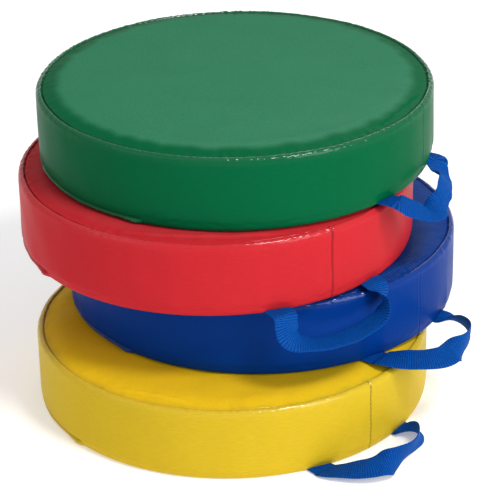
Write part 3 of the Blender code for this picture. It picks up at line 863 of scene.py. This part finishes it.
def makeStrap(name, place):
    even, middle, across, away = strapLine(name, place)
    outer = np.array([0.25, 0.5, 0.7, 0.86, 0.94, 0.985, 1])
    spread = np.array([*-outer[::-1], 0, *outer])
    edge = np.sqrt(np.clip(1 - np.abs(spread)**14, 0, 1))
    side = np.concatenate([spread, spread[-2:0:-1]])
    face = np.concatenate([edge, -edge[-2:0:-1]])
    selvedge = smooth(1 - np.abs(side), 0.03, 0.13)
    rng = np.random.default_rng(cushions[name]["seed"] + 5)
    rib = np.abs(np.sin(even * pi / webbing["rib"]))[:, None] * selvedge
    slant = even[:, None] * tau / (2 * webbing["rib"])
    weft = 0.35 * np.sin(side * webbing["width"] * tau / webbing["weft"] + slant)
    half = webbing["thick"] / 2 - webbing["ribHeight"] + webbing["ribHeight"] * (rib + weft * rib)
    curl = (side**2 - 0.4) * webbing["curl"] * np.sin(even / even[-1] * pi)[:, None]
    wavePhase = even[:, None] * tau / webbing["waveLength"] + rng.uniform(0, tau)
    wave = webbing["wave"] * side * np.sin(wavePhase)
    points = (middle[:, None] + across[:, None] * (side * webbing["width"] / 2)[:, None]
              + away[:, None] * (face * half + curl + wave)[..., None])
    rows, columns = points.shape[:2]
    turn = Matrix.Rotation(place.turn, 3, "Z")
    flat = points.reshape(-1, 3) @ np.array(turn).T + (place.x, place.y, place.base)
    ring = np.arange(rows * columns).reshape(rows, columns)
    after = np.roll(ring, -1, axis=1)
    faces = np.stack([ring[:-1], ring[1:], after[1:], after[:-1]], axis=-1).reshape(-1, 4)
    faces = faces.tolist() + [ring[0].tolist(), ring[-1, ::-1].tolist()]
    mesh = bpy.data.meshes.new(f"{name}_strap")
    mesh.from_pydata(flat.tolist(), [], faces)
    mesh.shade_smooth()
    layer = mesh.uv_layers.new(name="strap")
    sideOf, evenOf = np.tile(side * webbing["width"] / 2, rows), np.repeat(even, columns)
    corners = np.empty(len(mesh.loops), int)
    mesh.loops.foreach_get("vertex_index", corners)
    weave = np.stack([evenOf[corners], sideOf[corners]], axis=-1)
    layer.data.foreach_set("uv", weave.astype(np.float32).ravel())
    obj = bpy.data.objects.new(f"{name}_strap", mesh)
    scene.collection.objects.link(obj)
    return obj


webbingFinish = {
    "colour": (0.001, 0.078, 0.37, 1.0),
    # a painted shaded copy of the colour for the troughs between the ribs, and a painted lit copy
    "troughShade": (0.0006, 0.018, 0.13, 1.0),
    "litTone": (0.008, 0.15, 0.55, 1.0),
    "yarn": 1.7 * mm,
    "fuzz": 700,
    "specular": 0.04,
}


def webbingMaterial():
    paint = Finish("webbing")
    u, v = paint.flat("strap")
    where = paint.place()
    rib = u.wave(webbing["rib"])**1.5
    yarn = (v + u * 0.6).wave(webbingFinish["yarn"])
    fuzz = paint.noise(where, webbingFinish["fuzz"], 3, 0.6)
    drift = paint.noise(where, 40, 2)
    # painted shade: the webbing darkens between its raised ribs
    ribShading = rib * 0.85 + yarn * 0.15
    tone = paint.colours(ribShading, webbingFinish["troughShade"], webbingFinish["colour"])
    # painted light: random patches take the strap's lit tone
    litPatches = fuzz.step(0.45, 0.75) * 0.35 + drift * 0.1
    tone = paint.colours(litPatches, tone, webbingFinish["litTone"])
    height = rib * 0.06 + yarn * 0.05 + fuzz * 0.06
    return paint.set(Base_Color=tone, Roughness=0.5 + fuzz * 0.2, Normal=paint.bump(height),
                     Specular_IOR_Level=webbingFinish["specular"])


zipFinish = {
    "tape": ((0.02, 0.02, 0.022, 1), (0.06, 0.06, 0.065, 1)),
    "teeth": (0.05, 0.05, 0.055, 1),
    "slider": (0.55, 0.55, 0.56, 1),
}


def zipFinishes():    # the zips keep their solids
    paint = Finish("zipTape")
    weave = paint.noise(paint.place(), 1400, 2)
    tone = paint.colours(weave, *zipFinish["tape"])
    made = {"tape": paint.set(Base_Color=tone, Roughness=0.75 + weave * 0.15,
                              Normal=paint.bump(weave * 0.1))}
    for name, metal in (("teeth", 0.0), ("slider", 1.0)):
        paint = Finish(f"zip{name.capitalize()}")
        scuff = paint.noise(paint.place(), 500, 3)
        tone = paint.colours(scuff, tinted(zipFinish[name], 0.7), tinted(zipFinish[name], 1.2))
        made[name] = paint.set(Base_Color=tone, Roughness=0.28 + scuff * 0.2, Metallic=metal,
                               Normal=paint.bump(scuff * 0.02))
    return made


studio = {
    "floor": (0.93, 0.93, 0.93, 1.0),
    "floorGlow": 0.3,
    "world": 0.53,
    "corners": [(-9, -6, 0), (9, -6, 0), (9, 16, 0), (-9, 16, 0)],
    "aim": (0.02, 0.03, 0.15),
    "lamps": {    # place, width, height, watts
        "key": ((0.95, -1.05, 2.15), 0.7, 0.45, 28),
        "front": ((2.1, -1.8, 1.45), 1.6, 1.6, 33),
        "side": ((-2.2, -1.3, 1.5), 1.8, 1.8, 4),
        "back": ((0.5, 2.3, 2.2), 1.8, 1.8, 11),
    },
}


def setStudio():
    mesh = bpy.data.meshes.new("floor")
    mesh.from_pydata(studio["corners"], [], [(0, 1, 2, 3)])
    floor = bpy.data.objects.new("floor", mesh)
    scene.collection.objects.link(floor)
    paint = Finish("floor")
    grain = paint.noise(paint.place(), 3, 2)
    tone = paint.colours(grain, tinted(studio["floor"], 0.99), studio["floor"])
    matt = paint.set(Base_Color=tone, Roughness=0.9, Specular_IOR_Level=0.1,
                     Emission_Color=(1, 1, 1, 1), Emission_Strength=studio["floorGlow"])
    mesh.materials.append(matt)
    for name, (place, width, height, watts) in studio["lamps"].items():
        lamp = bpy.data.lights.new(name, "AREA")
        lamp.shape, lamp.size, lamp.size_y, lamp.energy = "ELLIPSE", width, height, watts
        obj = bpy.data.objects.new(name, lamp)
        obj.location = place
        away = Vector(place) - Vector(studio["aim"])
        obj.rotation_euler = away.to_track_quat("Z", "Y").to_euler()
        scene.collection.objects.link(obj)
    world = bpy.data.worlds.new("studio")
    world.use_nodes = True
    sky = world.node_tree.nodes["Background"]
    sky.inputs["Color"].default_value = (1, 1, 1, 1)
    sky.inputs["Strength"].default_value = studio["world"]
    scene.world = world
    scene.view_settings.view_transform = "Standard"


places = {name: Place(name) for name in cushions}
swellings = swellAll(places)
print("Covers swollen")

strapPaint = webbingMaterial()
zips = zipFinishes()
zipParts = {"zip_tape_lower": "tape", "zip_tape_upper": "tape", "zip_teeth_lower": "teeth",
            "zip_teeth_upper": "teeth", "zip_slider": "slider"}
coverParts = ("foam_core", "top_panel", "side_band", "bottom_panel", "zip_flap")
hingeBend = 1.5 * mm    # a span either side of the strap's hinge; the points at its two ends are worked out below but not used
for name, place in places.items():
    look = cushions[name]
    cover, topPath, uprightPath, lowPath = makeCover(name, place, look, swellings.get(name))
    cover.data.materials.append(vinyl(name, look))
    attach(cover, f"{name}_cushion")
    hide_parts(*(f"{name}_{part}" for part in coverParts))

    thread = threadFinish(name, look["colour"], look["threadShade"])
    runs = [(topPath, True), (uprightPath, False), (lowPath, False)]
    stitches = makeStitches(name, runs, stitchTree(thread))
    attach(stitches, f"{name}_cushion")
    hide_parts(f"{name}_top_seam_thread", f"{name}_bottom_seam_thread")

    strap = makeStrap(name, place)
    strap.data.materials.append(strapPaint)
    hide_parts(f"{name}_strap_end_left", f"{name}_strap_end_right", f"{name}_handle_loop")
    start, end = (place.world(place.hingeOut + step, 0.0, webbing["rise"])
                  for step in (-hingeBend, hingeBend))
    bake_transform(strap)

    for part, finish in zipParts.items():
        solid = frame["nodes"][f"{name}_{part}"]
        solid.data.materials.clear()
        solid.data.materials.append(zips[finish])
    print("Made the", name, "cushion:", len(cover.data.polygons), "faces in its cover")

setStudio()
print("Studio set")
